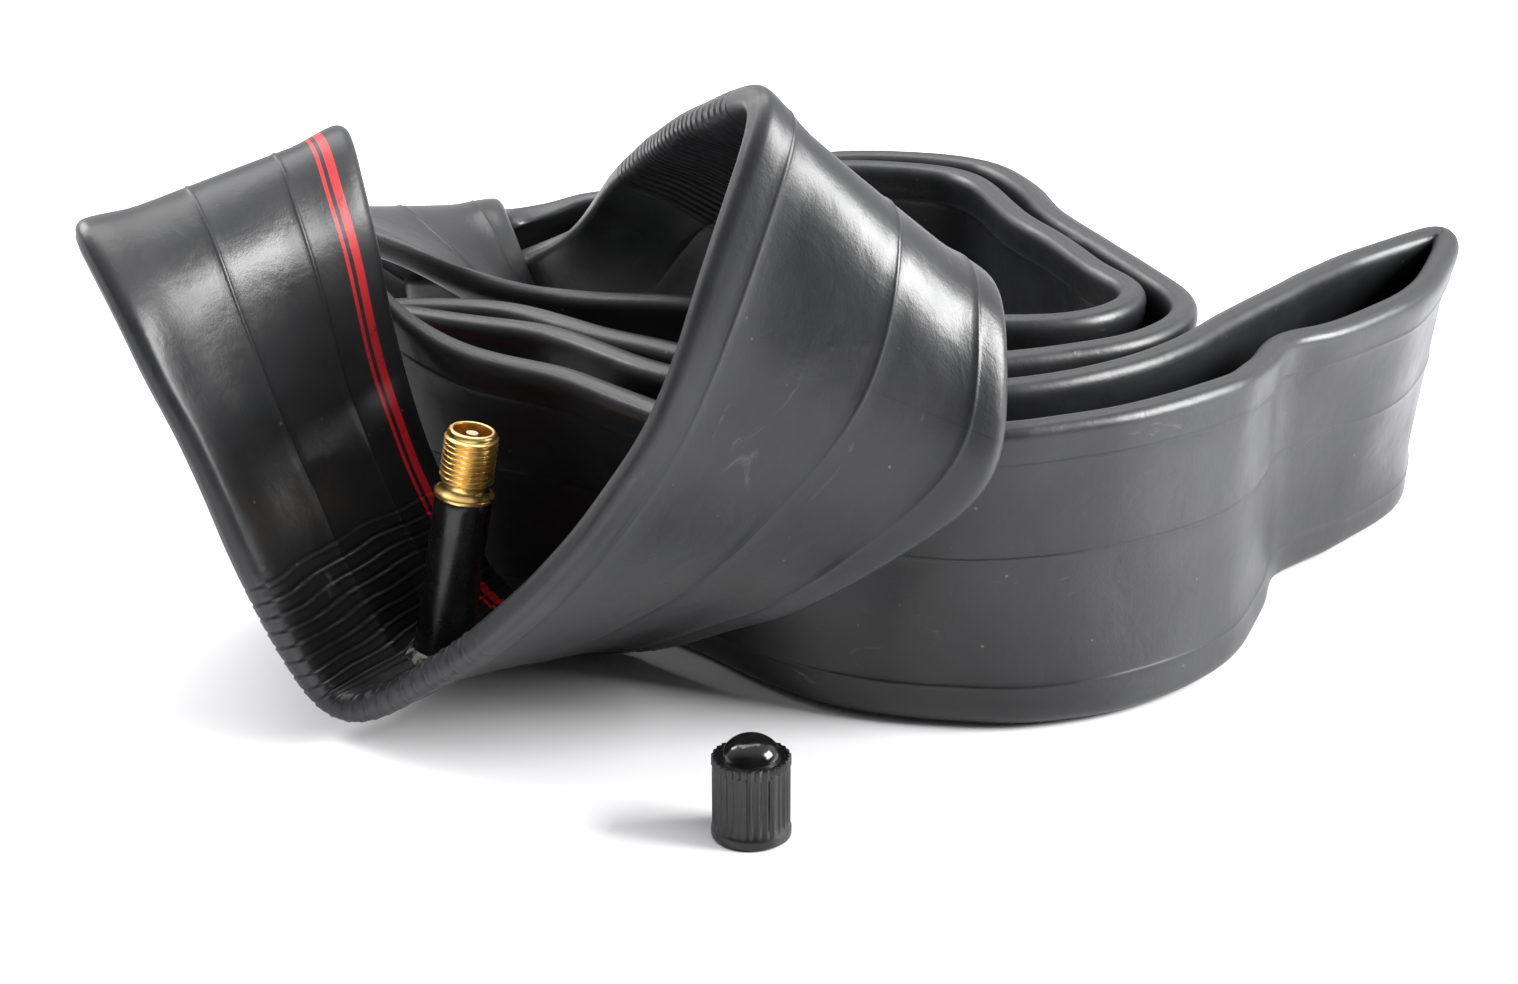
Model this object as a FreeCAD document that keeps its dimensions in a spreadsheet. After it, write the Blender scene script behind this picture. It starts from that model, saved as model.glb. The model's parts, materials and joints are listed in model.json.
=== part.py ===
import FreeCAD, Part
import math
import os

# Deflated bicycle inner tube with a rubber-coated car-type (Schrader) valve and its dust cap.
# The tube lies folded on the floor: one endless flattened band, standing on edge in most places.
# Millimetres, +Z up, floor at z = 0, origin under the middle of the whole object.

os.makedirs("parts", exist_ok=True)
doc = FreeCAD.newDocument("inner_tube")
sheet = doc.addObject("Spreadsheet::Sheet", "Sizes")

SIZES = [
    ("flatwidth", 46.0),       # width of the flattened tube
    ("flatthick", 3.0),        # thickness of the flattened tube
    ("patchradius", 8.0),      # valve patch built into the tube wall
    ("stembase", 4.6),         # rubber stem radius where it meets the patch
    ("stemfoot", 2.5),         # height of that wider foot
    ("stemradius", 4.05),      # rubber stem radius
    ("stemroot", 1.0),         # how deep the rubber stem sits in the patch
    ("stemlength", 24.7),      # rubber stem height above the tube
    ("barrelradius", 2.9),     # brass insert inside the rubber
    ("barrelstart", 1.0),      # lower end of the brass insert
    ("flangeradius", 4.25),    # brass collar on top of the rubber
    ("flangeheight", 1.0),
    ("neckradius", 3.35),      # groove between collar and thread
    ("neckheight", 0.9),
    ("threadradius", 3.85),    # outer thread crest (7.7 mm)
    ("threadroot", 3.4),       # outer thread root
    ("threadpitch", 0.794),    # 32 threads to the inch
    ("threadturns", 9.0),
    ("threadcrest", 0.3),      # width of the crest flat
    ("threadlength", 7.9),
    ("tipradius", 3.45),       # plain end above the thread
    ("tipheight", 0.5),
    ("airbore", 1.9),          # air way under the core
    ("seatstart", 25.2),       # conical seat of the core seal
    ("seatheight", 1.6),
    ("seatradius", 2.3),
    ("coreborestart", 29.0),   # threaded bore that holds the core plug
    ("corebore", 2.66),
    ("plugradius", 2.6),
    ("plugbottom", 29.2),
    ("plugheight", 2.6),
    ("plugbore", 1.0),
    ("plugtopwidth", 1.9),     # flats for the valve tool
    ("plugtopheight", 1.4),
    ("coreradius", 1.8),       # core barrel
    ("corebottom", 21.0),
    ("coreheight", 8.15),
    ("coreinner", 1.42),
    ("corefloor", 0.9),
    ("corefloorbore", 0.6),
    ("sealbottom", 25.35),     # ring on the core barrel that closes the seat
    ("sealheight", 2.2),
    ("seallower", 1.87),
    ("sealupper", 2.24),
    ("pinradius", 0.45),
    ("pinbottom", 19.7),
    ("pintop", 34.2),
    ("pinheadradius", 0.85),
    ("pinheadheight", 0.6),
    ("collarradius", 1.15),    # collar on the pin, pushed up by the spring
    ("collarheight", 0.5),
    ("collarbottom", 27.8),
    ("springbottom", 22.0),
    ("springlength", 5.7),
    ("springradius", 1.08),
    ("springwire", 0.14),
    ("springturns", 9.0),
    ("cupradius", 1.45),
    ("cupbottom", 19.9),
    ("cupheight", 0.8),
    ("cupsealradius", 1.3),
    ("cupsealheight", 0.5),
    ("capradius", 5.1),        # dust cap
    ("capheight", 11.3),
    ("caplipradius", 5.25),
    ("caplipheight", 1.3),
    ("capringradius", 5.2),    # toothed ring round the top
    ("capringheight", 1.2),
    ("capteeth", 30.0),
    ("capribs", 30.0),
    ("capgroove", 0.22),
    ("capdome", 3.75),
    ("capdomerise", 2.7),
    ("capbore", 3.97),
    ("capboredepth", 9.4),
    ("capsealradius", 3.6),
    ("capsealheight", 1.2),
    ("valvetilt", 9.0),        # the stem leans to the right
    ("valvex", -52.0),
    ("valvey", -31.5),
    ("valvez", 4.2),
    ("capx", -8.0),
    ("capy", -77.5),
]
for row, (alias, value) in enumerate(SIZES, start=1):
    sheet.set("A%d" % row, alias)
    sheet.set("B%d" % row, str(value))
    sheet.setAlias("B%d" % row, alias)
doc.recompute()


def size(alias):
    return float(sheet.get(alias))


# ---------------------------------------------------------------- the folded tube
# The way the band runs, as pairs of rim points: outer rim A, inner rim B, in mm on a working
# grid whose corner is moved to the middle of the object by GRID_SHIFT.
GRID_SHIFT = FreeCAD.Vector(-7.0, -470.5, 0.0)


def pair(a, b):
    return (FreeCAD.Vector(*a), FreeCAD.Vector(*b))


def edge(x, y, up=1, lean=0.0, side=0.0, height=45.5, foot=0.3):
    """Band standing on its edge: up=1 has rim A on top, up=-1 rim B; lean and side tip the top."""
    top = FreeCAD.Vector(x + side / 2, y + lean / 2, height)
    low = FreeCAD.Vector(x - side / 2, y - lean / 2, foot)
    return (top, low) if up > 0 else (low, top)


ROUTE = [
    # bottom of the V with the valve, then the wide band rising to the right
    pair((-59, 422, 3.6), (-36, 461, 3.2)),
    pair((-48, 415, 10), (-23, 451, 2.4)),
    pair((-27.8, 408, 31), (-3, 431, 13)),
    pair((-14.2, 407, 52), (15, 419, 26)),
    pair((-6.8, 411, 73), (30.5, 416, 40)),
    pair((-0.5, 421, 90.8), (32, 425, 58.5)),
    # over the top of the arch and down to the back left
    pair((-8.5, 441, 83), (28, 450, 58)),
    pair((-20.5, 485, 63), (13, 490, 41)),
    pair((-36, 518, 38.5), (-19, 517, 3)),
    pair((-47, 517, 36), (-44, 515, 0.6)),
    pair((-56, 520.5, 34), (-58, 520, 0.5)),
    pair((-46, 525, 34), (-44, 526, 0.4)),
    # inner layer of the big back loop
    edge(-20, 527.5, height=43.5),
    edge(12, 545.5),
    edge(32.5, 541.5),
    edge(42, 516.5),
    edge(51, 493),
    edge(55.8, 479.5),
    # forward again, behind the arch, to the left
    edge(49, 470),
    edge(30, 467),
    edge(10, 474),
    pair((-9, 480, 44.2), (-9, 482, 0.7)),
    pair((-28, 482.5, 43.8), (-25, 486, 2.0)),
    # turns over and over the strands behind it
    pair((-41, 483.5, 45.2), (-27, 502, 10)),
    pair((-55, 485.5, 49.5), (-35, 508, 32)),
    pair((-75, 500, 51), (-40, 518, 44)),
    pair((-79, 527, 31), (-39.5, 533, 39.8)),
    pair((-60, 538, 8), (-30, 537, 42)),
    # outer layer of the back loop
    edge(-18, 535.5, -1, height=44.5, foot=1.6),
    edge(12, 551.4, -1, foot=0.9),
    edge(36.3, 547.2, -1),
    edge(47.8, 517.5, -1),
    edge(57, 493.8, -1),
    edge(62.3, 474, -1),
    edge(57, 462, -1),
    edge(42, 453.5, -1),
    edge(20, 451.5, -1, -5),
    edge(0, 456.5, -1, -10, 0, 44.8),
    edge(-20, 468.5, -1, -12, 0, 44.4),
    edge(-44, 479, -1, -3, 0, 44.4),
    # small turn at the left
    edge(-57, 477, -1, 0, 0, 44.4),
    edge(-48, 473, -1, -1, 0, 44.4),
    edge(-30, 469, -1, -9, 0, 44.3),
    edge(-12, 454, -1, -13, 0, 44.3),
    edge(8, 443.5, -1, -6),
    # long right-hand loop
    edge(35, 440, -1),
    edge(55.7, 452.5, -1),
    edge(66.8, 466.5, -1),
    pair((75.5, 483.5, 0.3), (78.5, 482, 45.5)),
    pair((90, 507, 0.3), (94.5, 500, 45)),
    pair((103.2, 519.3, 0.3), (107.5, 507.5, 46.5)),
    pair((99.5, 503.7, 0.3), (101.5, 489.3, 43.8)),
    pair((91.5, 492, 0.3), (93, 478.5, 43.4)),
    pair((83.5, 483.5, 0.3), (82, 468.5, 43.2)),
    pair((77, 477, 0.3), (76.3, 464, 43.6)),
    pair((73, 461.5, 0.3), (70.5, 451.5, 44.6)),
    edge(65.5, 442.5, -1, -2),
    edge(52, 431, -1),
    edge(33, 424.5, -1, -2),
    pair((8, 432.5, 0.3), (8, 427.3, 45)),
    pair((-10, 451.7, 0.3), (-10, 432.5, 43.2)),
    pair((-27, 464.5, 0.3), (-27, 449.5, 43.2)),
    pair((-43, 468.5, 1.0), (-43, 460, 43.6)),
    # climbs behind the front strip, folds over at the top left and comes down to the valve
    pair((-69, 466, 8), (-55, 468.5, 50)),
    pair((-86, 462, 31), (-59.5, 471.5, 61)),
    pair((-94.5, 449, 56), (-59.5, 474.5, 68.7)),
    pair((-93.2, 440.5, 66.7), (-58.6, 471, 72)),
    pair((-88, 432, 61.2), (-56.2, 464, 66)),
    pair((-77.8, 425, 42.5), (-52.3, 461, 42)),
    pair((-66.4, 420.9, 17), (-44.2, 459.2, 17)),
]
STEPS_PER_STATION = 4


def smooth(points, gaps, i, t):
    """Closed cubic through the points; gaps are the distances between the band centres."""
    n = len(points)
    p0, p1 = points[i], points[(i + 1) % n]

    def slope(k):
        before = (points[k] - points[(k - 1) % n]) * (1.0 / gaps[(k - 1) % n])
        after = (points[(k + 1) % n] - points[k]) * (1.0 / gaps[k])
        total = gaps[(k - 1) % n] + gaps[k]
        return (before * gaps[k] + after * gaps[(k - 1) % n]) * (1.0 / total)

    m0 = slope(i) * gaps[i]
    m1 = slope((i + 1) % n) * gaps[i]
    return (
        p0 * (2 * t ** 3 - 3 * t ** 2 + 1)
        + m0 * (t ** 3 - 2 * t ** 2 + t)
        + p1 * (3 * t ** 2 - 2 * t ** 3)
        + m1 * (t ** 3 - t ** 2)
    )


def band_sections():
    """Centre, width direction and face direction of the flattened tube along its whole length."""
    rim_a = [a + GRID_SHIFT for a, b in ROUTE]
    rim_b = [b + GRID_SHIFT for a, b in ROUTE]
    centres = [(a + b) * 0.5 for a, b in zip(rim_a, rim_b)]
    n = len(ROUTE)
    gaps = [(centres[(i + 1) % n] - centres[i]).Length for i in range(n)]
    samples = []
    for i in range(n):
        for k in range(STEPS_PER_STATION):
            t = k / STEPS_PER_STATION
            a = smooth(rim_a, gaps, i, t)
            b = smooth(rim_b, gaps, i, t)
            samples.append((a, b))
    out = []
    m = len(samples)
    for j, (a, b) in enumerate(samples):
        a0, b0 = samples[(j - 1) % m]
        a1, b1 = samples[(j + 1) % m]
        along = (a1 + b1) - (a0 + b0)
        across = a - b
        face = along.cross(across)
        face.normalize()
        out.append(((a + b) * 0.5, across, face))
    return out


def flat_section(centre, across, face, width, thick):
    """Flat ring with round rims, the cut through a flattened tube."""
    w = FreeCAD.Vector(across)
    w.normalize()
    stretch = min(across.Length, width) / 2.0
    r = thick / 2.0
    reach = stretch - r
    corner = {}
    for side in (-1, 1):
        for skin in (-1, 1):
            corner[(side, skin)] = centre + w * (side * reach) + face * (skin * r)
    tip = {side: centre + w * (side * stretch) for side in (-1, 1)}
    edges = [
        Part.makeLine(corner[(-1, 1)], corner[(1, 1)]),
        Part.Arc(corner[(1, 1)], tip[1], corner[(1, -1)]).toShape(),
        Part.makeLine(corner[(1, -1)], corner[(-1, -1)]),
        Part.Arc(corner[(-1, -1)], tip[-1], corner[(-1, 1)]).toShape(),
    ]
    return Part.Wire(edges)


def make_tube():
    sections = band_sections()
    wires = [flat_section(c, w, f, size("flatwidth"), size("flatthick")) for c, w, f in sections]
    return Part.makeLoft(wires, True, True, True)


valve_place = FreeCAD.Placement(
    FreeCAD.Vector(size("valvex"), size("valvey"), size("valvez")),
    FreeCAD.Rotation(FreeCAD.Vector(0, 1, 0), size("valvetilt")),
)
cap_place = FreeCAD.Placement(
    FreeCAD.Vector(size("capx"), size("capy"), 0.0),
    FreeCAD.Rotation(),
)
finished = []


def bind(obj, prop, formula):
    obj.setExpression(prop, formula)


def aliases(formula):
    """Puts the sheet name in front of every size used in a formula."""
    out = ""
    word = ""
    for ch in formula + " ":
        if ch.isalpha():
            word += ch
        else:
            if word:
                out += "Sizes." + word
                word = ""
            out += ch
    return out.strip()


def disc(name, radius, start, height):
    obj = doc.addObject("Part::Cylinder", name)
    bind(obj, "Radius", aliases(radius))
    bind(obj, "Height", aliases(height))
    bind(obj, "Placement.Base.z", aliases(start))
    return obj


def cone(name, radius1, radius2, start, height):
    obj = doc.addObject("Part::Cone", name)
    bind(obj, "Radius1", aliases(radius1))
    bind(obj, "Radius2", aliases(radius2))
    bind(obj, "Height", aliases(height))
    bind(obj, "Placement.Base.z", aliases(start))
    return obj


def fuse(name, shapes):
    obj = doc.addObject("Part::MultiFuse", name)
    obj.Shapes = shapes
    return obj


def cut(name, base, tool):
    obj = doc.addObject("Part::Cut", name)
    obj.Base = base
    obj.Tool = tool
    return obj


def finish(obj, label, placement):
    obj.Label = label
    obj.Placement = placement
    finished.append(obj)
    return obj


# ---------------------------------------------------------------- valve, built upright
# rubber stem
stem_outside = fuse("StemOutside", [
    disc("StemRod", "stemradius", "-stemroot", "stemlength + stemroot"),
    disc("StemRoot", "stembase", "-stemroot", "stemroot + 0.01"),
    cone("StemFoot", "stembase", "stemradius", "0", "stemfoot"),
])
stem_rubber = cut("StemRubber", stem_outside, disc("StemHole", "barrelradius", "barrelstart", "stemlength"))
stem_rubber = cut("StemRubberOpen", stem_rubber,
                  disc("StemAirHole", "airbore", "-stemroot - 1", "barrelstart + stemroot + 2"))
finish(stem_rubber, "valve_stem_rubber", valve_place)

# brass insert with the outer thread; each thread ridge is a ring with a narrow crest flat
ridges = []
for turn in range(int(size("threadturns"))):
    at = "stemlength + flangeheight + neckheight + %.1f * threadpitch + 0.2" % turn
    flank = "(threadpitch - threadcrest) / 2 - 0.05"
    ridges.append(cone("RidgeLow%d" % turn, "threadroot", "threadradius", at, flank))
    ridges.append(disc("RidgeFlat%d" % turn, "threadradius", at + " + " + flank, "threadcrest"))
    ridges.append(cone("RidgeHigh%d" % turn, "threadradius", "threadroot",
                       at + " + " + flank + " + threadcrest", flank))
insert_outside = fuse("InsertOutside", [
    disc("InsertBarrel", "barrelradius", "barrelstart", "stemlength - barrelstart + 0.5"),
    disc("InsertFlange", "flangeradius", "stemlength", "flangeheight"),
    disc("InsertNeck", "neckradius", "stemlength + flangeheight - 0.2", "neckheight + 0.4"),
    disc("InsertCore", "threadroot", "stemlength + flangeheight + neckheight", "threadlength"),
    disc("InsertTip", "tipradius", "stemlength + flangeheight + neckheight + threadlength - 0.3", "tipheight"),
] + ridges)
insert_bore = fuse("InsertBore", [
    disc("BoreAir", "airbore", "-1", "seatstart + 1.2"),
    cone("BoreSeat", "airbore", "seatradius", "seatstart", "seatheight"),
    disc("BoreSeal", "seatradius", "seatstart + seatheight", "coreborestart - seatstart - seatheight + 0.2"),
    disc("BoreCore", "corebore", "coreborestart", "10"),
])
insert = cut("Insert", insert_outside, insert_bore)
finish(insert, "valve_stem_insert", valve_place)

# core plug: screws into the top of the stem, two flats for the valve tool
plug_top = doc.addObject("Part::Box", "PlugTop")
bind(plug_top, "Length", aliases("2 * plugradius - 0.4"))
bind(plug_top, "Width", aliases("plugtopwidth"))
bind(plug_top, "Height", aliases("plugtopheight + 0.1"))
bind(plug_top, "Placement.Base.x", aliases("-plugradius + 0.2"))
bind(plug_top, "Placement.Base.y", aliases("-plugtopwidth / 2"))
bind(plug_top, "Placement.Base.z", aliases("plugbottom + plugheight - 0.1"))
plug = cut("Plug", fuse("PlugOutside", [disc("PlugDisc", "plugradius", "plugbottom", "plugheight"), plug_top]),
           disc("PlugBore", "plugbore", "plugbottom - 1", "plugheight + plugtopheight + 2"))
finish(plug, "core_plug", valve_place)

# core barrel, its seal ring, pin, spring, cup and cup seal
barrel = cut("Barrel", disc("BarrelRod", "coreradius", "corebottom", "coreheight"), fuse("BarrelHoles", [
    disc("BarrelRoom", "coreinner", "corebottom + corefloor", "coreheight"),
    disc("BarrelExit", "corefloorbore", "corebottom - 1", "corefloor + 2"),
]))
finish(barrel, "core_barrel", valve_place)
seal = cut("BarrelSeal", cone("SealCone", "seallower", "sealupper", "sealbottom", "sealheight"),
           disc("SealHole", "coreradius", "sealbottom - 1", "sealheight + 2"))
finish(seal, "core_barrel_seal", valve_place)
pin = fuse("Pin", [
    disc("PinRod", "pinradius", "pinbottom", "pintop - pinbottom"),
    disc("PinHead", "pinheadradius", "pintop - pinheadheight", "pinheadheight"),
    disc("PinCollar", "collarradius", "collarbottom", "collarheight"),
])
finish(pin, "core_pin", valve_place)
cup = cut("Cup", disc("CupDisc", "cupradius", "cupbottom", "cupheight"), fuse("CupHoles", [
    disc("CupHole", "pinradius", "cupbottom - 1", "cupheight + 2"),
    disc("CupRoom", "cupsealradius", "cupbottom + cupheight - 0.25", "cupheight"),
]))
finish(cup, "core_cup", valve_place)
cup_seal = cut("CupSeal", disc("CupSealDisc", "cupsealradius", "cupbottom + cupheight - 0.25", "cupsealheight"),
               disc("CupSealHole", "pinradius", "cupbottom", "cupheight + 2"))
finish(cup_seal, "core_cup_seal", valve_place)

spring_length = size("springlength")
coil_height = spring_length - 2 * size("springwire")
helix = Part.makeHelix(coil_height / size("springturns"), coil_height, size("springradius"))
WIRE_FLATS = 16
wire_corners = []
for k in range(WIRE_FLATS + 1):
    turn = 2 * math.pi * k / WIRE_FLATS
    wire_x = size("springradius") + size("springwire") * math.cos(turn)
    wire_z = size("springwire") * math.sin(turn)
    wire_corners.append(FreeCAD.Vector(wire_x, 0, wire_z))
wire_ring = Part.makePolygon(wire_corners)
coil = Part.Wire(helix).makePipeShell([wire_ring], True, True)
spring = doc.addObject("Part::Feature", "Spring")
spring.Shape = coil
spring_start = FreeCAD.Vector(0, 0, size("springbottom") + size("springwire"))
finish(spring, "core_spring", valve_place.multiply(FreeCAD.Placement(spring_start, FreeCAD.Rotation())))

# ---------------------------------------------------------------- dust cap, stands on its open end
cap_side = fuse("CapSide", [
    disc("CapWall", "capradius", "0", "capheight"),
    disc("CapLip", "caplipradius", "0", "caplipheight"),
    disc("CapRing", "capringradius", "capheight - capringheight", "capringheight"),
])
dome = doc.addObject("Part::Ellipsoid", "CapDome")
bind(dome, "Radius1", aliases("capdomerise"))
bind(dome, "Radius2", aliases("capdome"))
bind(dome, "Radius3", aliases("capdome"))
bind(dome, "Placement.Base.z", aliases("capheight"))
dome.Angle1 = 0
dome.Angle2 = 90
cap_outside = fuse("CapOutside", [cap_side, dome])
grooves = []
for index in range(int(size("capribs"))):
    turn = 2 * math.pi * index / size("capribs")
    groove = doc.addObject("Part::Cylinder", "CapGroove%d" % index)
    bind(groove, "Radius", aliases("capgroove"))
    bind(groove, "Height", aliases("capheight - caplipheight + 0.5"))
    bind(groove, "Placement.Base.x", aliases("(capradius + 0.1) * ") + "%.6f" % math.cos(turn))
    bind(groove, "Placement.Base.y", aliases("(capradius + 0.1) * ") + "%.6f" % math.sin(turn))
    bind(groove, "Placement.Base.z", aliases("caplipheight + 0.6"))
    grooves.append(groove)
cap_ribbed = cut("CapRibbed", cap_outside, fuse("CapGrooves", grooves))
cap_room = fuse("CapRoom", [
    disc("CapBore", "capbore", "-1", "capboredepth + 1"),
    disc("CapSealRoom", "capsealradius", "capboredepth - 0.1", "capsealheight + 0.1"),
])
cap = cut("Cap", cap_ribbed, cap_room)
finish(cap, "valve_cap", cap_place)
cap_seal = disc("CapSeal", "capsealradius", "capboredepth", "capsealheight")
cap_seal.setExpression("Placement.Base.z", None)
cap_seal_place = FreeCAD.Placement(
    FreeCAD.Vector(size("capx"), size("capy"), size("capboredepth")), FreeCAD.Rotation())
finish(cap_seal, "cap_seal", cap_seal_place)

doc.recompute()

# ---------------------------------------------------------------- tube and its valve patch
tube_shape = make_tube()
patch_cutter = Part.makeCylinder(
    size("patchradius"), 20.0, FreeCAD.Vector(0, 0, -7.0), FreeCAD.Vector(0, 0, 1))
patch_cutter.Placement = valve_place.multiply(patch_cutter.Placement)
stem_socket = Part.makeCylinder(
    size("stembase"), 8.0, FreeCAD.Vector(0, 0, -size("stemroot")), FreeCAD.Vector(0, 0, 1))
stem_socket.Placement = valve_place.multiply(stem_socket.Placement)
air_way = Part.makeCylinder(
    size("airbore"), 3.0, FreeCAD.Vector(0, 0, -size("stemroot") - 1.0), FreeCAD.Vector(0, 0, 1))
air_way.Placement = valve_place.multiply(air_way.Placement)
patch_shape = tube_shape.common(patch_cutter).cut(stem_socket).cut(air_way)
tube_shape = tube_shape.cut(patch_cutter)


def largest(shape):
    return max(shape.Solids, key=lambda s: s.Volume)


tube = doc.addObject("Part::Feature", "Tube")
tube.Shape = largest(tube_shape)
finish(tube, "tube_body", FreeCAD.Placement())
patch = doc.addObject("Part::Feature", "Patch")
patch.Shape = largest(patch_shape)
finish(patch, "valve_base_patch", FreeCAD.Placement())

doc.recompute()
for obj in doc.Objects:
    if "Invalid" in obj.State or "Error" in obj.State:
        raise RuntimeError("%s is %s" % (obj.Label, obj.State))
for obj in finished:
    shape = obj.Shape
    if shape.isNull() or not shape.isValid():
        raise RuntimeError("%s has a bad shape" % obj.Label)
    if len(shape.Solids) != 1:
        raise RuntimeError("%s has %d solids" % (obj.Label, len(shape.Solids)))
    shape.exportStep("parts/%s.step" % obj.Label)
    box = shape.BoundBox
    print("%-20s volume %10.1f  x %7.1f %7.1f  y %7.1f %7.1f  z %6.1f %6.1f" % (
        obj.Label, shape.Volume, box.XMin, box.XMax, box.YMin, box.YMax, box.ZMin, box.ZMax))
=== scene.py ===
import json
import math
import bpy
import bmesh
import numpy as np
from mathutils import Matrix, Vector

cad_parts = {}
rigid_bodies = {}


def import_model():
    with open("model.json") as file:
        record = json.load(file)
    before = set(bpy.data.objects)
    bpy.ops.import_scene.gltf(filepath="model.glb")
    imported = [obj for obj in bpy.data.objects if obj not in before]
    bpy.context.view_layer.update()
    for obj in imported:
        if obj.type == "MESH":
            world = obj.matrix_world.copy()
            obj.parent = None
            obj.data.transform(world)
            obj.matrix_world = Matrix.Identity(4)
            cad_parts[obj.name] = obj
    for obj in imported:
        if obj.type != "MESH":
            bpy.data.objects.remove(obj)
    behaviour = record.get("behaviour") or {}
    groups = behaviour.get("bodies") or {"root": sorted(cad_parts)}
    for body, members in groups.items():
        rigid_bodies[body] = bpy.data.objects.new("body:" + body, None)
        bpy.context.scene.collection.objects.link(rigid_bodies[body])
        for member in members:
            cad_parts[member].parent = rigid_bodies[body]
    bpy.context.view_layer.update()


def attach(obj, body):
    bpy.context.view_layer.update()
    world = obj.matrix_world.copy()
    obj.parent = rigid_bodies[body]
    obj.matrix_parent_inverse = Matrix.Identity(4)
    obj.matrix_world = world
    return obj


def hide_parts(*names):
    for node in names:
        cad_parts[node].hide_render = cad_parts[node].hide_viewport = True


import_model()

# Deflated bicycle inner tube lying folded on edge, with its valve and its dust cap.
# The tube's band follows pairs of rim points, in mm on a working grid. They are the pairs of
# the CAD, but for two at the top left, where rim A is up to 3.5 mm further in.
MM = 0.001
GRID_SHIFT = (-7.0, -470.5, 0.0)


def pair(a, b):
    return (a, b)


def edge(x, y, up=1, lean=0.0, side=0.0, height=45.5, foot=0.3):
    """Band standing on its edge: up=1 has rim A on top, up=-1 rim B; lean and side tip the top."""
    top = (x + side / 2, y + lean / 2, height)
    low = (x - side / 2, y - lean / 2, foot)
    return (top, low) if up > 0 else (low, top)


ROUTE = [
    # bottom of the V with the valve, then the wide band rising to the right
    pair((-59, 422, 3.6), (-36, 461, 3.2)),
    pair((-48, 415, 10), (-23, 451, 2.4)),
    pair((-27.8, 408, 31), (-3, 431, 13)),
    pair((-14.2, 407, 52), (15, 419, 26)),
    pair((-6.8, 411, 73), (30.5, 416, 40)),
    pair((-0.5, 421, 90.8), (32, 425, 58.5)),
    # over the top of the arch and down to the back left
    pair((-8.5, 441, 83), (28, 450, 58)),
    pair((-20.5, 485, 63), (13, 490, 41)),
    pair((-36, 518, 38.5), (-19, 517, 3)),
    pair((-47, 517, 36), (-44, 515, 0.6)),
    pair((-56, 520.5, 34), (-58, 520, 0.5)),
    pair((-46, 525, 34), (-44, 526, 0.4)),
    # inner layer of the big back loop
    edge(-20, 527.5, height=43.5),
    edge(12, 545.5),
    edge(32.5, 541.5),
    edge(42, 516.5),
    edge(51, 493),
    edge(55.8, 479.5),
    # forward again, behind the arch, to the left
    edge(49, 470),
    edge(30, 467),
    edge(10, 474),
    pair((-9, 480, 44.2), (-9, 482, 0.7)),
    pair((-28, 482.5, 43.8), (-25, 486, 2.0)),
    # turns over and over the strands behind it
    pair((-41, 483.5, 45.2), (-27, 502, 10)),
    pair((-55, 485.5, 49.5), (-35, 508, 32)),
    pair((-75, 500, 51), (-40, 518, 44)),
    pair((-79, 527, 31), (-39.5, 533, 39.8)),
    pair((-60, 538, 8), (-30, 537, 42)),
    # outer layer of the back loop
    edge(-18, 535.5, -1, height=44.5, foot=1.6),
    edge(12, 551.4, -1, foot=0.9),
    edge(36.3, 547.2, -1),
    edge(47.8, 517.5, -1),
    edge(57, 493.8, -1),
    edge(62.3, 474, -1),
    edge(57, 462, -1),
    edge(42, 453.5, -1),
    edge(20, 451.5, -1, -5),
    edge(0, 456.5, -1, -10, 0, 44.8),
    edge(-20, 468.5, -1, -12, 0, 44.4),
    edge(-44, 479, -1, -3, 0, 44.4),
    # small turn at the left
    edge(-57, 477, -1, 0, 0, 44.4),
    edge(-48, 473, -1, -1, 0, 44.4),
    edge(-30, 469, -1, -9, 0, 44.3),
    edge(-12, 454, -1, -13, 0, 44.3),
    edge(8, 443.5, -1, -6),
    # long right-hand loop
    edge(35, 440, -1),
    edge(55.7, 452.5, -1),
    edge(66.8, 466.5, -1),
    pair((75.5, 483.5, 0.3), (78.5, 482, 45.5)),
    pair((90, 507, 0.3), (94.5, 500, 45)),
    pair((103.2, 519.3, 0.3), (107.5, 507.5, 46.5)),
    pair((99.5, 503.7, 0.3), (101.5, 489.3, 43.8)),
    pair((91.5, 492, 0.3), (93, 478.5, 43.4)),
    pair((83.5, 483.5, 0.3), (82, 468.5, 43.2)),
    pair((77, 477, 0.3), (76.3, 464, 43.6)),
    pair((73, 461.5, 0.3), (70.5, 451.5, 44.6)),
    edge(65.5, 442.5, -1, -2),
    edge(52, 431, -1),
    edge(33, 424.5, -1, -2),
    pair((8, 432.5, 0.3), (8, 427.3, 45)),
    pair((-10, 451.7, 0.3), (-10, 432.5, 43.2)),
    pair((-27, 464.5, 0.3), (-27, 449.5, 43.2)),
    pair((-43, 468.5, 1.0), (-43, 460, 43.6)),
    # climbs behind the front strip, folds over at the top left and comes down to the valve
    pair((-69, 466, 8), (-55, 468.5, 50)),
    pair((-82.5, 462.5, 31), (-59.5, 471.5, 61)),
    pair((-91, 450, 57), (-59.5, 474.5, 68.7)),
    pair((-93.2, 440.5, 66.7), (-58.6, 471, 72)),
    pair((-88, 432, 61.2), (-56.2, 464, 66)),
    pair((-77.8, 425, 42.5), (-52.3, 461, 42)),
    pair((-66.4, 420.9, 17), (-44.2, 459.2, 17)),
]


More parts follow.
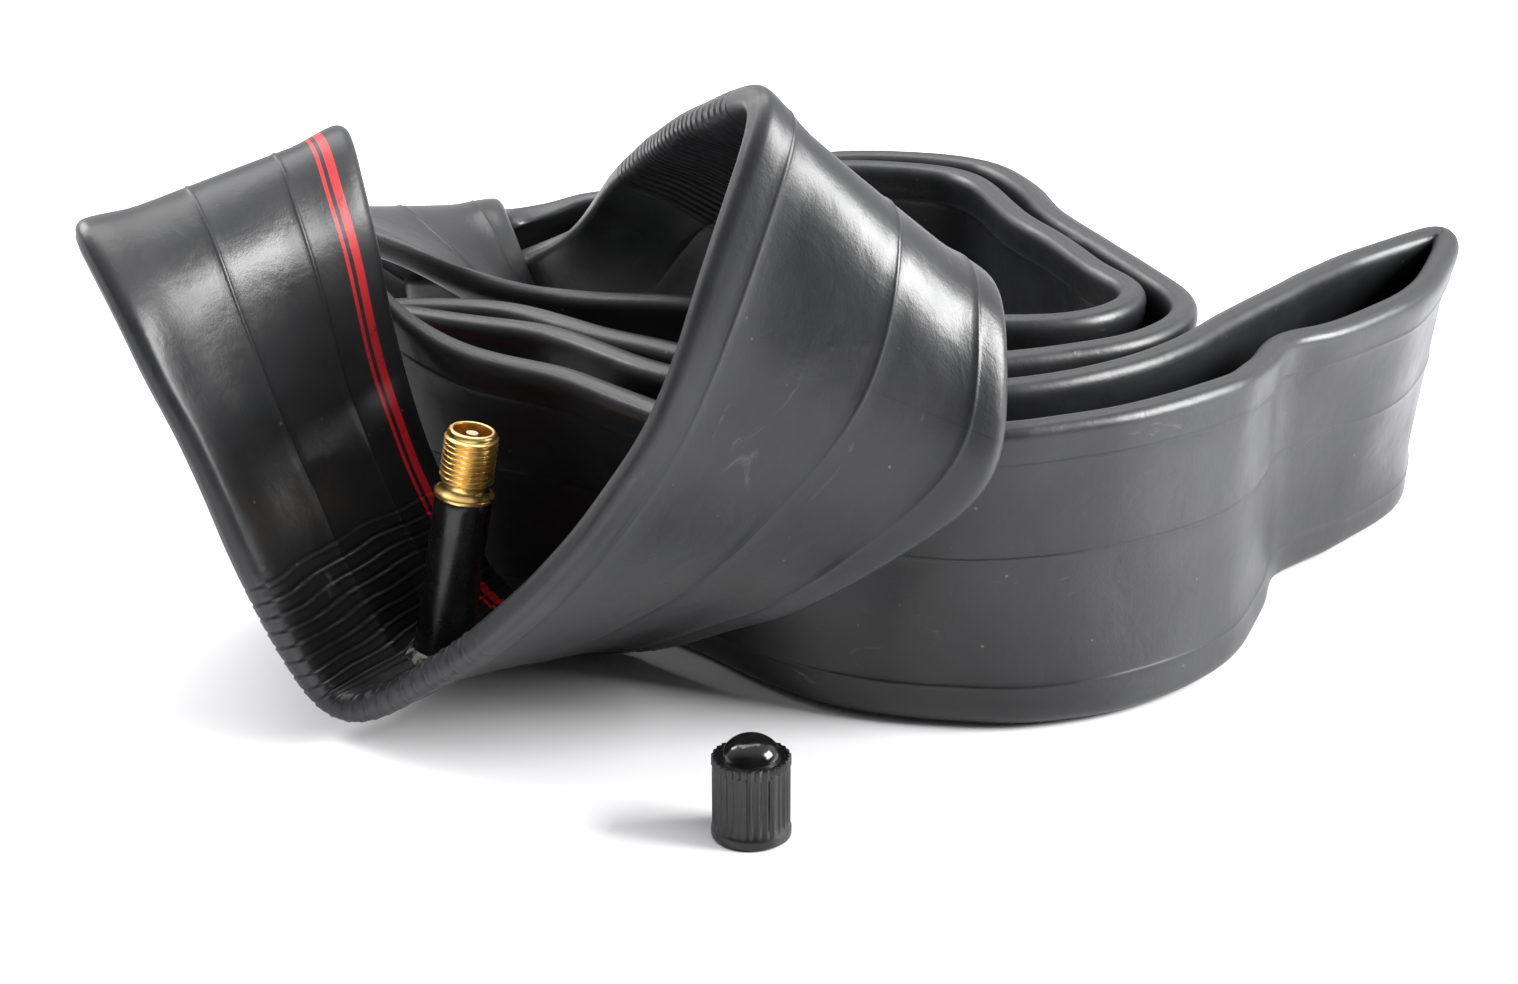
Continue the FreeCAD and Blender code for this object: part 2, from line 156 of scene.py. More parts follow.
# ------------------------------------------------------------ the band as two smooth rim lines
BAND_WIDTH = 46.0         # the flat tube from rim to rim, mm
RIM_RADIUS = 2.1          # half thickness at the rolled rims, mm
WALL_HALF = 1.25          # half thickness of the flat middle, mm
RIM_REACH = 8.5           # how far the thicker rim reaches in, mm
COARSE_STEP = 1.25        # mesh rings along the band, mm
FINE_STEP = 0.24
RIB_PITCH = 2.45
RIB_ZONES = ((-24.0, 31.0), (121.0, 186.0))   # along the band from the valve, mm
TYRE_SEAMS = (0.13, 0.44, 0.87)               # mould lines, as a share of the width from rim B
RIM_SEAMS = (0.28, 0.60)
STRIPE_WIDE = (4.7, 6.1)  # printed lines on the rim side, mm from rim B
STRIPE_THIN = (6.8, 7.4)
STRIPE_ENDS = (118.0, -150.0)   # the print stops this far along each side of the valve


def closed_cubic(points, gaps, steps):
    """Closed cubic through the points; gaps are the distances between the band centres."""
    before = np.roll(gaps, 1)[:, None]
    gaps = gaps[:, None]
    step_in = (points - np.roll(points, 1, 0)) / before
    step_out = (np.roll(points, -1, 0) - points) / gaps
    slope = (step_in * gaps + step_out * before) / (before + gaps)
    m0 = slope * gaps
    m1 = np.roll(slope, -1, 0) * gaps
    p1 = np.roll(points, -1, 0)
    parts = []
    for k in range(steps):
        t = k / steps
        parts.append(points * (2 * t ** 3 - 3 * t ** 2 + 1) + m0 * (t ** 3 - 2 * t ** 2 + t)
                     + p1 * (3 * t ** 2 - 2 * t ** 3) + m1 * (t ** 3 - t ** 2))
    return np.stack(parts, 1).reshape(-1, 3)


def chord(points):
    return np.linalg.norm(np.roll(points, -1, 0) - points, axis=1)


def at_length(points, s, total, where):
    """Points of a closed line at the given lengths along it."""
    stops = np.r_[s, total]
    closed = np.vstack([points, points[:1]])
    wrapped = np.mod(where, total)
    return np.stack([np.interp(wrapped, stops, closed[:, k]) for k in range(3)], 1)


def blur(values, sigma):
    """Smooths a closed list, sigma in samples."""
    reach = int(sigma * 3) + 1
    out = np.zeros_like(values)
    total = 0.0
    for k in range(-reach, reach + 1):
        w = math.exp(-0.5 * (k / sigma) ** 2)
        out += np.roll(values, k, 0) * w
        total += w
    return out / total


def rim_lines():
    """Rims A and B every 0.5 mm along the centre line, rounded a little."""
    rim_a = np.array([a for a, b in ROUTE]) + GRID_SHIFT
    rim_b = np.array([b for a, b in ROUTE]) + GRID_SHIFT
    gaps = chord((rim_a + rim_b) / 2)
    a = closed_cubic(rim_a, gaps, 24)
    b = closed_cubic(rim_b, gaps, 24)
    c = (a + b) / 2
    lengths = chord(c)
    total = lengths.sum()
    s = np.r_[0, np.cumsum(lengths)[:-1]]
    where = np.linspace(0, total, int(total / 0.5), endpoint=False)
    a = blur(at_length(a, s, total, where), 5.0)
    b = blur(at_length(b, s, total, where), 5.0)
    return a, b, where, total


RIM_A, RIM_B, LINE_S, LENGTH = rim_lines()


def zone_offset(s, start, end):
    """Where s lies in a stretch that may cross the start of the ring, or None."""
    for turn in (-LENGTH, 0.0, LENGTH):
        if start <= s + turn <= end:
            return s + turn
    return None


def ring_positions():
    out = []
    s = 0.0
    while s < LENGTH - 0.3:
        out.append(s)
        near = any(zone_offset(s, a - 2, b + 2) is not None for a, b in RIB_ZONES)
        s += FINE_STEP if near else COARSE_STEP
    return np.array(out)


def profile():
    """Across the band from rim B to rim A: distances in from the nearer rim, mm."""
    arc = [RIM_RADIUS * (1 - math.cos(math.radians(t))) for t in (0, 16, 32, 48, 64, 78, 92)]
    flat = [3.2, 4.4, 5.4, 5.65, 5.9, 6.15, 6.4, 7.2, 8.6, 10.2, 12.0]
    return arc + flat


def bead(v, at, width_mm):
    return np.exp(-((v - at) * BAND_WIDTH / width_mm) ** 2)


def build_tube():
    s = ring_positions()
    a = at_length(RIM_A, LINE_S, LENGTH, s)
    b = at_length(RIM_B, LINE_S, LENGTH, s)
    ahead = (at_length(RIM_A, LINE_S, LENGTH, s + 1.5) + at_length(RIM_B, LINE_S, LENGTH, s + 1.5))
    behind = (at_length(RIM_A, LINE_S, LENGTH, s - 1.5) + at_length(RIM_B, LINE_S, LENGTH, s - 1.5))
    along = ahead - behind
    across = a - b
    width = np.linalg.norm(across, axis=1)
    unit = across / width[:, None]
    face = np.cross(along, across)
    face /= np.linalg.norm(face, axis=1)[:, None]
    near = profile()
    seams = sorted(set(TYRE_SEAMS + RIM_SEAMS))
    v_list = [d / BAND_WIDTH for d in near] + [1 - d / BAND_WIDTH for d in near]
    for seam in seams:
        v_list += [seam + k / BAND_WIDTH for k in (-0.5, -0.25, 0.0, 0.25, 0.5)]
    v_list += [0.31, 0.35, 0.39, 0.48, 0.52, 0.56, 0.64, 0.68, 0.72]
    v_list = sorted(v_list)
    v_clean = [v_list[0]]
    for v in v_list[1:]:
        if v - v_clean[-1] > 0.0035:
            v_clean.append(v)
    if v_clean[-1] < 1.0:
        v_clean[-1] = 1.0
    v = np.array(v_clean)
    from_rim = np.minimum(v, 1 - v) * BAND_WIDTH
    half = np.where(
        from_rim < RIM_RADIUS,
        np.sqrt(np.maximum(0.0, RIM_RADIUS ** 2 - (RIM_RADIUS - from_rim) ** 2)),
        0.0)
    t = np.clip((from_rim - RIM_RADIUS) / RIM_REACH, 0, 1)
    thinned = RIM_RADIUS + (WALL_HALF - RIM_RADIUS) * (t * t * (3 - 2 * t))
    half = np.where(from_rim >= RIM_RADIUS, thinned, half)
    ring_v = np.r_[v, v[-2:0:-1]]
    ring_h = np.r_[half, half[-2:0:-1]]
    ring_side = np.r_[np.ones(len(v)), -np.ones(len(v) - 2)]
    ring_side[0] = 0.0
    ring_side[len(v) - 1] = 0.0
    # fine relief on each skin
    relief = np.zeros((len(s), len(ring_v)))
    for k, (vv, sd) in enumerate(zip(ring_v, ring_side)):
        lift = 0.0
        for seam in (TYRE_SEAMS if sd > 0 else RIM_SEAMS):
            lift += 0.17 * float(bead(vv, seam, 0.26))
        relief[:, k] += lift if sd != 0 else 0.0
    for start, end in RIB_ZONES:
        for j, sj in enumerate(s):
            at = zone_offset(sj, start, end)
            if at is None:
                continue
            ease = min(1.0, (at - start) / 4.0, (end - at) / 4.0)
            first = start < 0
            for k, (vv, sd) in enumerate(zip(ring_v, ring_side)):
                inward = vv * BAND_WIDTH
                if sd > 0 and 6.0 < inward < 40.0:
                    continue
                reach = 1.0
                if sd > 0:
                    reach = max(0.0, 1 - min(inward, BAND_WIDTH - inward) / 6.0)
                if not first and vv < 0.35:
                    reach *= max(0.0, (vv - 0.2) / 0.15)
                wobble = 0.35 * math.sin(vv * 7.0 + at * 0.09) + 0.2 * math.sin(vv * 19.0 + at * 0.31)
                x = (at + wobble) / RIB_PITCH
                x -= round(x)
                groove = math.exp(-(x * RIB_PITCH / 0.24) ** 2)
                crown = math.exp(-((x - 0.17) * RIB_PITCH / 0.22) ** 2)
                relief[j, k] += ease * reach * (0.20 * crown - 0.30 * groove)
    # slow unevenness of both skins together, and of the thickness
    turn = 2 * math.pi * s / LENGTH
    wave = np.zeros((len(s), len(ring_v)))
    swell = np.zeros((len(s), len(ring_v)))
    waves = ((31, 2.2, 0.22, 0.4), (47, 3.9, 0.13, 2.1), (73, -5.1, 0.09, 4.0),
             (19, 1.2, 0.28, 1.2), (113, 7.3, 0.04, 0.9))
    swells = ((23, 3.0, 0.12, 1.0), (59, -4.2, 0.08, 3.3))
    for count, across_k, size, phase in waves:
        wave += size * np.sin(turn[:, None] * count + ring_v[None, :] * across_k + phase)
    for count, across_k, size, phase in swells:
        swell += size * np.sin(turn[:, None] * count + ring_v[None, :] * across_k + phase)
    soft = np.clip(np.minimum(ring_v, 1 - ring_v) * BAND_WIDTH / 8.0, 0, 1)
    height = ring_h[None, :] * ring_side[None, :] + relief * ring_side[None, :]
    height += wave * 0.8 + swell * soft[None, :] * ring_side[None, :]
    # rims of both faces: relief at the tips pushes outwards instead
    pts = b[:, None, :] + across[:, None, :] * ring_v[None, :, None]
    pts = pts + face[:, None, :] * height[:, :, None]
    tip_b = relief[:, 0][:, None]
    tip_a = relief[:, len(v) - 1][:, None]
    pts[:, 0, :] -= unit * tip_b
    pts[:, len(v) - 1, :] += unit * tip_a
    n, m = len(s), len(ring_v)
    rows = np.arange(n)[:, None]
    cols = np.arange(m)[None, :]
    nxt_r = (rows + 1) % n
    nxt_c = (cols + 1) % m
    quads = np.stack([
        rows * m + cols,
        rows * m + nxt_c,
        nxt_r * m + nxt_c,
        nxt_r * m + cols], -1).reshape(-1, 4)
    mesh = bpy.data.meshes.new("tube_skin")
    mesh.from_pydata((pts.reshape(-1, 3) * MM).tolist(), [], quads.tolist())
    s_ends = np.r_[s, LENGTH]
    length_at = np.stack([s_ends[rows + 0 * cols], s_ends[rows + 0 * cols],
                          s_ends[rows + 1 + 0 * cols], s_ends[rows + 1 + 0 * cols]], -1)
    across_at = np.stack([ring_v[cols + 0 * rows], ring_v[nxt_c + 0 * rows],
                          ring_v[nxt_c + 0 * rows], ring_v[cols + 0 * rows]], -1)
    side_at = np.stack([ring_side[cols + 0 * rows], ring_side[nxt_c + 0 * rows],
                        ring_side[nxt_c + 0 * rows], ring_side[cols + 0 * rows]], -1)
    fields = (("along", length_at * MM), ("across", across_at * BAND_WIDTH * MM), ("skin", side_at))
    for name, values in fields:
        layer = mesh.attributes.new(name, "FLOAT", "CORNER")
        layer.data.foreach_set("value", values.reshape(-1).astype(np.float32))
    mesh.polygons.foreach_set("use_smooth", [True] * len(mesh.polygons))
    mesh.update()
    tube = bpy.data.objects.new("inner_tube_skin", mesh)
    bpy.context.scene.collection.objects.link(tube)
    bm = bmesh.new()
    bm.from_mesh(mesh)
    if bm.calc_volume(signed=True) < 0:
        bmesh.ops.reverse_faces(bm, faces=bm.faces)
        bm.to_mesh(mesh)
    bm.free()
    return tube


tube = build_tube()
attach(tube, "tube")
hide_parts("tube_body", "valve_base_patch")


# ------------------------------------------------------------ turned and moulded small parts
VALVE_BASE = Vector((-52.0, -31.5, 4.2)) * MM
VALVE_TILT = Matrix.Rotation(math.radians(9.0), 4, "Y")
VALVE_PLACE = Matrix.Translation(VALVE_BASE) @ VALVE_TILT
CAP_PLACE = Matrix.Translation(Vector((-8.0, -77.5, 0.0)) * MM)


def spin_mesh(name, rings, place, segments, closed=False, smooth_deg=32):
    """A solid turned from rings; each ring is a function of angle giving radius and height in mm."""
    verts = []
    faces = []
    for ring in rings:
        for k in range(segments):
            turn = 2 * math.pi * k / segments
            r, z = ring(turn)
            verts.append(place @ (Vector((r * math.cos(turn), r * math.sin(turn), z)) * MM))
    count = len(rings)
    for j in range(count if closed else count - 1):
        for k in range(segments):
            k2 = (k + 1) % segments
            j2 = (j + 1) % count
            low, high = j * segments, j2 * segments
            faces.append((low + k, low + k2, high + k2, high + k))
    if not closed:
        faces.append(tuple(reversed(range(segments))))
        faces.append(tuple((count - 1) * segments + k for k in range(segments)))
    mesh = bpy.data.meshes.new(name)
    mesh.from_pydata(verts, [], faces)
    bm = bmesh.new()
    bm.from_mesh(mesh)
    bmesh.ops.recalc_face_normals(bm, faces=bm.faces)
    for e in bm.edges:
        if len(e.link_faces) == 2 and e.calc_face_angle(0.0) > math.radians(smooth_deg):
            e.smooth = False
    for f in bm.faces:
        f.smooth = True
    bm.to_mesh(mesh)
    bm.free()
    obj = bpy.data.objects.new(name, mesh)
    bpy.context.scene.collection.objects.link(obj)
    return obj


def fixed(r, z):
    return lambda turn: (r, z)


# rubber coating of the stem, with a soft foot and a thin moulded lip under the collar
stem_profile = [
    (1.9, -1.0), (4.6, -1.0), (4.62, 0.0), (4.5, 0.5), (4.34, 1.2), (4.18, 2.0), (4.1, 3.0),
    (4.05, 5.0), (4.02, 12.0), (4.04, 18.0), (4.05, 22.5), (4.07, 23.6), (4.06, 24.45),
    (3.95, 24.7), (2.9, 24.7), (2.9, 1.0), (1.9, 1.0)]
stem_rings = [fixed(r, z) for r, z in stem_profile]
stem = spin_mesh("stem_rubber_skin", stem_rings, VALVE_PLACE, 96, closed=True)
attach(stem, "tube")
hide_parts("valve_stem_rubber")

# brass top: flared collar, neck and a true right-hand thread
THREAD_PITCH = 0.794
THREAD_ROOT = 3.4
THREAD_CREST = 3.85
THREAD_FROM = 26.9        # heights above the foot of the stem, mm
THREAD_TO = 34.2


def thread_ring(z):
    def ring(turn):
        phase = (z / THREAD_PITCH - turn / (2 * math.pi)) % 1.0
        ridge = abs(phase - 0.5) * 2
        depth = min(1.0, max(0.0, (ridge - 0.20) / 0.62))
        ends = min(1.0, (z - THREAD_FROM) / 0.5, (THREAD_TO - 0.05 - z) / 0.45)
        crest = THREAD_CREST - (THREAD_CREST - THREAD_ROOT) * depth
        return (THREAD_ROOT + (crest - THREAD_ROOT) * max(0.0, ends), z)
    return ring


collar_profile = [
    (2.9, 1.0), (2.9, 24.7), (4.05, 24.7), (4.22, 24.78), (4.25, 24.95), (4.25, 25.22),
    (4.12, 25.42), (3.82, 25.62), (3.58, 25.86), (3.4, 26.1), (3.34, 26.35), (3.34, 26.7),
    (3.4, 26.88)]
bore_profile = [
    (3.36, 34.45), (3.2, 34.62), (3.05, 34.69), (2.8, 34.7), (2.68, 34.6), (2.66, 34.4),
    (2.66, 29.0), (2.3, 29.0), (2.3, 26.8), (1.9, 25.2), (1.9, 1.0)]
steps = int((THREAD_TO - THREAD_FROM) / 0.066)
insert_rings = [fixed(r, z) for r, z in collar_profile]
for k in range(steps + 1):
    insert_rings.append(thread_ring(THREAD_FROM + (THREAD_TO - THREAD_FROM) * k / steps))
insert_rings += [fixed(r, z) for r, z in bore_profile]
insert = spin_mesh("stem_insert_turned", insert_rings, VALVE_PLACE, 120, closed=True, smooth_deg=48)
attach(insert, "tube")
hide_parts("valve_stem_insert")


# dried bonding residue round the foot of the stem
def residue_ring(r, z):
    def ring(turn):
        ragged = 0.32 * math.sin(3 * turn + 0.7) + 0.25 * math.sin(7 * turn + 2.0)
        ragged += 0.15 * math.sin(13 * turn)
        return (r + ragged * (r - 4.4), z)
    return ring


residue_profile = [
    (4.45, -0.2), (5.5, -0.2), (5.45, 0.25), (5.1, 0.5), (4.75, 0.95), (4.5, 1.25), (4.38, 1.3)]
residue_rings = [residue_ring(r, z) for r, z in residue_profile]
residue = spin_mesh("stem_residue", residue_rings, VALVE_PLACE, 72, closed=True, smooth_deg=60)
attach(residue, "tube")

# dust cap
CAP_TEETH = 30


def cap_side(r, z, ribbed, tooth=0.0):
    def ring(turn):
        radius = r
        local = (turn * CAP_TEETH / (2 * math.pi)) % 1.0
        if tooth:
            radius += tooth * (1 - abs(local - 0.5) * 2) - tooth
        if ribbed:
            group = int(turn * CAP_TEETH / (2 * math.pi)) % 5
            ridge = math.exp(-((local - 0.5) / 0.23) ** 2)
            radius -= ribbed * (0.22 if group in (0, 1) else 0.34) * (1 - ridge)
        return (radius, z)
    return ring


cap_rings = [fixed(3.97, 0.15), fixed(4.1, 0.0), fixed(5.1, 0.0), fixed(5.22, 0.08), fixed(5.25, 0.25),
             fixed(5.25, 1.05), fixed(5.2, 1.25), cap_side(5.12, 1.4, 0.0), cap_side(5.1, 1.9, 0.25),
             cap_side(5.12, 2.5, 1.0), cap_side(5.12, 6.0, 1.0), cap_side(5.12, 9.4, 1.0),
             cap_side(5.1, 9.9, 0.5), cap_side(5.14, 10.0, 0.0, 0.3), cap_side(5.22, 10.15, 0.0, 0.34),
             cap_side(5.22, 11.05, 0.0, 0.34), cap_side(5.12, 11.25, 0.0, 0.34), fixed(4.62, 11.32),
             fixed(4.45, 11.3), fixed(4.2, 11.12), fixed(3.9, 11.1)]
for k in range(1, 12):
    lift = math.radians(90.0 * k / 12)
    cap_rings.append(fixed(3.8 * math.cos(lift), 11.1 + 2.88 * math.sin(lift)))
cap_rings += [fixed(0.02, 13.98), fixed(0.02, 10.6), fixed(3.6, 10.6), fixed(3.6, 9.4), fixed(3.97, 9.4)]
cap = spin_mesh("dust_cap_moulded", cap_rings, CAP_PLACE, CAP_TEETH * 12, closed=True, smooth_deg=38)
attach(cap, "cap")
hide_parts("valve_cap")


# ------------------------------------------------------------ materials
class Maker:
    """Short hand for building a node material."""

    def __init__(self, name):
        self.material = bpy.data.materials.new(name)
        self.material.use_nodes = True
        self.tree = self.material.node_tree
        self.shader = self.tree.nodes["Principled BSDF"]

    def put(self, value, socket):
        if isinstance(value, bpy.types.NodeSocket):
            self.tree.links.new(value, socket)
        else:
            socket.default_value = value

    def math(self, kind, a, b=0.0, c=0.0, clamp=False):
        n = self.tree.nodes.new("ShaderNodeMath")
        n.operation = kind
        n.use_clamp = clamp
        for k, value in enumerate((a, b, c)):
            self.put(value, n.inputs[k])
        return n.outputs[0]

    def attribute(self, name):
        n = self.tree.nodes.new("ShaderNodeAttribute")
        n.attribute_name = name
        return n.outputs["Fac"]

    def combine(self, x, y, z):
        n = self.tree.nodes.new("ShaderNodeCombineXYZ")
        for k, value in enumerate((x, y, z)):
            self.put(value, n.inputs[k])
        return n.outputs[0]

    def place(self):
        n = self.tree.nodes.new("ShaderNodeTexCoord")
        return n.outputs["Object"]

    def noise(self, vector, scale, detail=3.0, rough=0.55, warp=0.0):
        n = self.tree.nodes.new("ShaderNodeTexNoise")
        self.put(vector, n.inputs["Vector"])
        n.inputs["Scale"].default_value = scale
        n.inputs["Detail"].default_value = detail
        n.inputs["Roughness"].default_value = rough
        n.inputs["Distortion"].default_value = warp
        return n.outputs["Fac"]

    def cells(self, vector, scale):
        n = self.tree.nodes.new("ShaderNodeTexVoronoi")
        self.put(vector, n.inputs["Vector"])
        n.inputs["Scale"].default_value = scale
        return n.outputs["Distance"]

    def ramp(self, value, low, high, out_low=0.0, out_high=1.0):
        n = self.tree.nodes.new("ShaderNodeMapRange")
        n.interpolation_type = "SMOOTHSTEP"
        self.put(value, n.inputs["Value"])
        for key, v in (("From Min", low), ("From Max", high), ("To Min", out_low), ("To Max", out_high)):
            n.inputs[key].default_value = v
        return n.outputs["Result"]

    def band(self, value, low, high, soft):
        """1 where value lies between low and high."""
        rise = self.ramp(value, low - soft, low + soft)
        fall = self.ramp(value, high - soft, high + soft, 1.0, 0.0)
        return self.math("MULTIPLY", rise, fall)

    def mix(self, factor, a, b):
        n = self.tree.nodes.new("ShaderNodeMix")
        n.data_type = "RGBA"
        self.put(factor, n.inputs[0])
        self.put(a, n.inputs[6])
        self.put(b, n.inputs[7])
        return n.outputs[2]

    def bump(self, height, strength, distance, before=None):
        n = self.tree.nodes.new("ShaderNodeBump")
        n.inputs["Strength"].default_value = strength
        n.inputs["Distance"].default_value = distance
        self.put(height, n.inputs["Height"])
        if before is not None:
            self.put(before, n.inputs["Normal"])
        return n.outputs["Normal"]


SPLICE_AT = 95.1          # where the ring's joint meets rim B, mm along the band
SPLICE_SLANT = 0.307      # mm along the band for each mm across


def butyl():
    m = Maker("butyl_rubber")
    along = m.attribute("along")
    across = m.attribute("across")
    skin = m.attribute("skin")
    flat = m.combine(along, across, skin)
    stretched = m.combine(m.math("MULTIPLY", along, 0.35), across, skin)
    cross = m.combine(along, m.math("MULTIPLY", across, 0.12), skin)
    # talc left from the mould, in faint clouds, wipe marks and fine specks
    cloud = m.ramp(m.noise(flat, 24.0, 4.0, 0.6, 0.6), 0.56, 0.9, 0.0, 0.06)
    wipes = m.ramp(m.noise(stretched, 150.0, 5.0, 0.62, 1.6), 0.60, 0.78, 0.0, 0.55)
    patches = m.ramp(m.noise(flat, 33.0, 2.0, 0.5), 0.50, 0.66)
    wipes = m.math("MULTIPLY", wipes, patches)
    spot = m.cells(flat, 420.0)
    pick = m.ramp(m.noise(flat, 260.0, 2.0), 0.57, 0.62)
    specks = m.math("MULTIPLY", m.ramp(spot, 0.05, 0.13, 0.45, 0.0), pick)
    hair = m.ramp(m.noise(cross, 900.0, 3.0, 0.7, 2.5), 0.70, 0.76, 0.0, 0.25)
    hair = m.math("MULTIPLY", hair, patches)
    # rims rub against each other and look dustier
    from_a = m.math("SUBTRACT", BAND_WIDTH * MM, across)
    rim = m.math("MINIMUM", across, from_a)
    worn = m.ramp(rim, 0.0004, 0.0035, 0.06, 0.0)
    worn = m.math("MULTIPLY", worn, m.ramp(m.noise(flat, 210.0, 4.0), 0.35, 0.65, 0.35, 1.0))
    fine = m.math("ADD", specks, m.math("ADD", hair, worn))
    talc = m.math("ADD", m.math("ADD", cloud, wipes), fine, clamp=True)
    black = (0.0105, 0.0108, 0.0118, 1)
    greyer = (0.0155, 0.016, 0.0175, 1)
    tone = m.mix(m.ramp(m.noise(flat, 60.0, 3.0), 0.3, 0.7), black, greyer)
    colour = m.mix(talc, tone, (0.19, 0.19, 0.198, 1))
    # mould lines read as thin dark lines
    lines = None
    for seams, side in ((TYRE_SEAMS, 1.0), (RIM_SEAMS, -1.0)):
        here = m.ramp(m.math("MULTIPLY", skin, side), 0.4, 0.6)
        for seam in seams:
            seam_at = seam * BAND_WIDTH * MM
            edge_line = m.band(across, seam_at - 0.00042, seam_at - 0.00022, 0.00008)
            edge_line = m.math("MULTIPLY", edge_line, here)
            lines = edge_line if lines is None else m.math("MAXIMUM", lines, edge_line)
    # the ring's joint shows as one slanted line on the tyre side of the raised band
    slanted = m.math("ADD", along, m.math("MULTIPLY", across, SPLICE_SLANT))
    splice = m.band(slanted, SPLICE_AT * MM, (SPLICE_AT + 0.3) * MM, 0.00012)
    splice = m.math("MULTIPLY", splice, m.ramp(across, 0.0198, 0.0202, 1.0, 0.0))
    splice = m.math("MULTIPLY", splice, m.ramp(skin, 0.4, 0.6))
    lines = m.math("MAXIMUM", lines, splice)
    colour = m.mix(m.math("MULTIPLY", lines, 0.75), colour, (0.006, 0.006, 0.007, 1))
    # printed red lines on the rim side
    rim_side = m.ramp(m.math("MULTIPLY", skin, -1.0), 0.4, 0.6)
    wide = m.band(across, STRIPE_WIDE[0] * MM, STRIPE_WIDE[1] * MM, 0.00006)
    thin = m.band(across, STRIPE_THIN[0] * MM, STRIPE_THIN[1] * MM, 0.00006)
    print_mask = m.math("MULTIPLY", m.math("MAXIMUM", wide, thin), rim_side)
    before_end = m.ramp(along, (STRIPE_ENDS[0] - 3) * MM, STRIPE_ENDS[0] * MM, 1.0, 0.0)
    after_start = m.ramp(along, (LENGTH + STRIPE_ENDS[1]) * MM, (LENGTH + STRIPE_ENDS[1] + 3) * MM)
    print_mask = m.math("MULTIPLY", print_mask, m.math("MAXIMUM", before_end, after_start))
    rubbed = m.ramp(m.noise(flat, 500.0, 4.0, 0.65), 0.28, 0.42, 0.25, 1.0)
    print_mask = m.math("MULTIPLY", print_mask, rubbed)
    red = m.mix(m.noise(flat, 90.0, 2.0), (0.50, 0.012, 0.020, 1), (0.68, 0.022, 0.032, 1))
    colour = m.mix(print_mask, colour, red)
    m.put(colour, m.shader.inputs["Base Color"])
    rough = m.ramp(m.noise(flat, 45.0, 4.0, 0.6), 0.3, 0.7, 0.32, 0.43)
    rough = m.math("ADD", rough, m.math("MULTIPLY", talc, 0.35), clamp=True)
    m.put(rough, m.shader.inputs["Roughness"])
    m.shader.inputs["Specular IOR Level"].default_value = 0.5
    grain = m.noise(flat, 2600.0, 2.0)
    normal = m.bump(grain, 0.10, 0.0002)
    dents = m.noise(flat, 210.0, 3.0, 0.5, 0.4)
    normal = m.bump(dents, 0.22, 0.0006, normal)
    drawn = m.noise(cross, 520.0, 2.0)
    normal = m.bump(drawn, 0.10, 0.0002, normal)
    m.put(normal, m.shader.inputs["Normal"])
    return m.material


def smooth_rubber():
    m = Maker("stem_rubber")
    at = m.place()
    black = (0.008, 0.008, 0.0085, 1)
    greyer = (0.022, 0.022, 0.023, 1)
    colour = m.mix(m.ramp(m.noise(at, 320.0, 4.0), 0.45, 0.8), black, greyer)
    dust = m.ramp(m.noise(at, 900.0, 3.0, 0.6, 1.5), 0.66, 0.76, 0.0, 0.3)
    colour = m.mix(dust, colour, (0.2, 0.19, 0.18, 1))
    m.put(colour, m.shader.inputs["Base Color"])
    m.put(m.ramp(m.noise(at, 260.0, 3.0), 0.3, 0.7, 0.24, 0.36), m.shader.inputs["Roughness"])
    m.put(m.bump(m.noise(at, 1500.0, 2.0), 0.12, 0.0002), m.shader.inputs["Normal"])
    return m.material


def brass(name, light, dark, low, high):
    m = Maker(name)
    at = m.place()
    colour = m.mix(m.ramp(m.noise(at, 420.0, 4.0), 0.35, 0.7), light, dark)
    grime = m.ramp(m.noise(at, 1300.0, 3.0, 0.6), 0.64, 0.76, 0.0, 0.4)
    colour = m.mix(grime, colour, (0.16, 0.075, 0.02, 1))
    m.put(colour, m.shader.inputs["Base Color"])
    m.shader.inputs["Metallic"].default_value = 1.0
    m.put(m.ramp(m.noise(at, 700.0, 3.0), 0.3, 0.7, low, high), m.shader.inputs["Roughness"])
    m.put(m.bump(m.noise(at, 3200.0, 2.0), 0.12, 0.0001), m.shader.inputs["Normal"])
    return m.material


def dull_rubber(name):
    m = Maker(name)
    at = m.place()
    colour = m.mix(m.noise(at, 900.0, 3.0), (0.03, 0.03, 0.03, 1), (0.06, 0.055, 0.05, 1))
    m.put(colour, m.shader.inputs["Base Color"])
    m.put(m.ramp(m.noise(at, 700.0), 0.3, 0.7, 0.55, 0.7), m.shader.inputs["Roughness"])
    return m.material


def steel():
    m = Maker("spring_wire")
    at = m.place()
    colour = m.mix(m.noise(at, 900.0, 3.0), (0.42, 0.42, 0.43, 1), (0.6, 0.6, 0.61, 1))
    m.put(colour, m.shader.inputs["Base Color"])
    m.shader.inputs["Metallic"].default_value = 1.0
    m.put(m.ramp(m.noise(at, 700.0), 0.3, 0.7, 0.22, 0.34), m.shader.inputs["Roughness"])
    return m.material


def residue_material():
    m = Maker("bonding_residue")
    at = m.place()
    patchy = m.ramp(m.noise(at, 620.0, 4.0, 0.6, 0.8), 0.42, 0.58)
    m.put(m.mix(patchy, (0.02, 0.02, 0.021, 1), (0.42, 0.38, 0.33, 1)), m.shader.inputs["Base Color"])
    m.put(m.ramp(m.noise(at, 900.0), 0.3, 0.7, 0.4, 0.6), m.shader.inputs["Roughness"])
    m.put(m.bump(m.noise(at, 1400.0, 3.0), 0.4, 0.0003), m.shader.inputs["Normal"])
    return m.material


